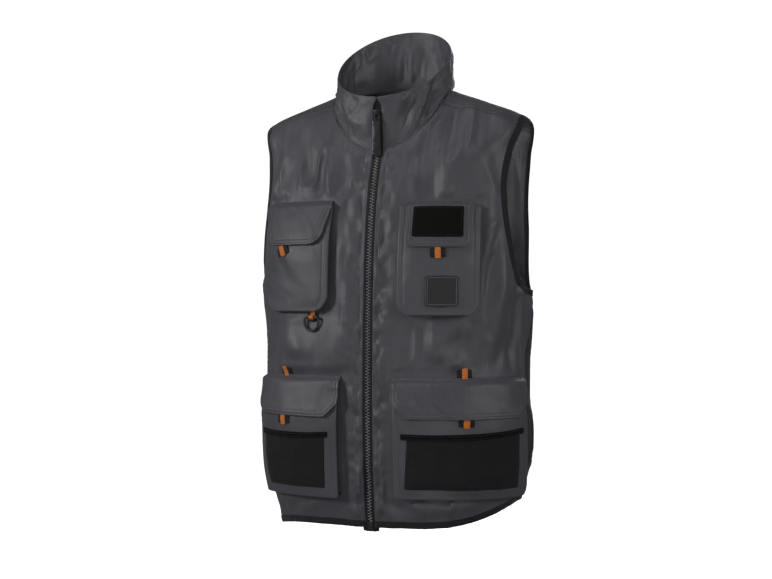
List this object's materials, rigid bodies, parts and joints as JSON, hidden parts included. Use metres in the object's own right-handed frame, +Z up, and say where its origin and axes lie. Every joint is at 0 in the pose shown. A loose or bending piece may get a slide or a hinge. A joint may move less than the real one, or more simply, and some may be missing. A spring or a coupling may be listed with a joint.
{
  "type": "utility work vest",
  "caption": "Sleeveless zip-front work vest with stand collar, bound armholes, flap pockets, mesh pockets, webbing tabs and a D-ring, shown in its worn form.",
  "frame": {"origin": "on the centre line at the height where the shoulders meet the collar, inside the neck opening", "axes": "+Z up, the front faces -Y, +X is the wearer's left"},
  "size_m": [0.4428, 0.2768, 0.8035],
  "materials": {
    "ripstop_cloth": "woven ripstop with a soft sheen",
    "stretch_cloth": "matt stretch knit",
    "binding_tape": "matt folded tape",
    "knit_mesh": "open knit mesh",
    "hook_tape": "looped pile",
    "black_webbing": "ribbed webbing",
    "orange_webbing": "ribbed webbing",
    "black_moulding": "moulded acetal",
    "badge_rubber": "moulded soft rubber"
  },
  "bodies": {
    "vest": {"front_panel_left": "ripstop_cloth", "front_panel_right": "ripstop_cloth", "side_panel_left": "stretch_cloth", "side_panel_right": "stretch_cloth", "back_panel": "ripstop_cloth", "armhole_binding_left": "binding_tape", "armhole_binding_right": "binding_tape", "hem_binding_front_left": "binding_tape", "hem_binding_back_left": "binding_tape", "hem_binding_back_right": "binding_tape", "hem_binding_front_right": "binding_tape", "collar": "ripstop_cloth", "zip_teeth_left": "black_moulding", "zip_tape_left": "black_webbing", "zip_teeth_right": "black_moulding", "zip_tape_right": "black_webbing", "zip_end_box": "black_moulding", "zip_slider": "black_moulding", "chest_left_bag": "ripstop_cloth", "chest_left_flap": "ripstop_cloth", "chest_right_bag": "ripstop_cloth", "chest_right_flap": "ripstop_cloth", "lower_left_bag": "ripstop_cloth", "lower_left_flap": "ripstop_cloth", "lower_right_bag": "ripstop_cloth", "lower_right_flap": "ripstop_cloth", "lower_left_mesh": "knit_mesh", "lower_left_trim": "black_webbing", "lower_right_mesh": "knit_mesh", "lower_right_trim": "black_webbing", "hook_patch": "hook_tape", "badge_patch": "badge_rubber", "chest_left_tab_webbing": "black_webbing", "chest_left_tab_strip": "orange_webbing", "chest_right_tab_webbing": "black_webbing", "chest_right_tab_strip": "orange_webbing", "lower_left_top_tab_webbing": "black_webbing", "lower_left_top_tab_strip": "orange_webbing", "lower_left_tab_webbing": "black_webbing", "lower_left_tab_strip": "orange_webbing", "lower_right_top_tab_webbing": "black_webbing", "lower_right_top_tab_strip": "orange_webbing", "lower_right_tab_webbing": "black_webbing", "lower_right_tab_strip": "orange_webbing", "d_ring_webbing": "black_webbing", "d_ring_loop": "orange_webbing"},
    "d_ring": {"d_ring": "black_moulding"},
    "zip_pull": {"zip_pull_link": "black_moulding", "zip_pull_tab": "black_moulding"}
  },
  "joints": [
    {"name": "d_ring_swing", "type": "hinge", "parent": "vest", "child": "d_ring", "pos_m": [-0.09279, -0.13367, -0.3565], "axis": [-0.9769, 0.2136, 0], "range_deg": [0, 95]},
    {"name": "zip_pull_swing", "type": "hinge", "parent": "vest", "child": "zip_pull", "pos_m": [0, -0.09726, -0.04499], "axis": [-1, 0, 0], "range_deg": [0, 125]}
  ]
}
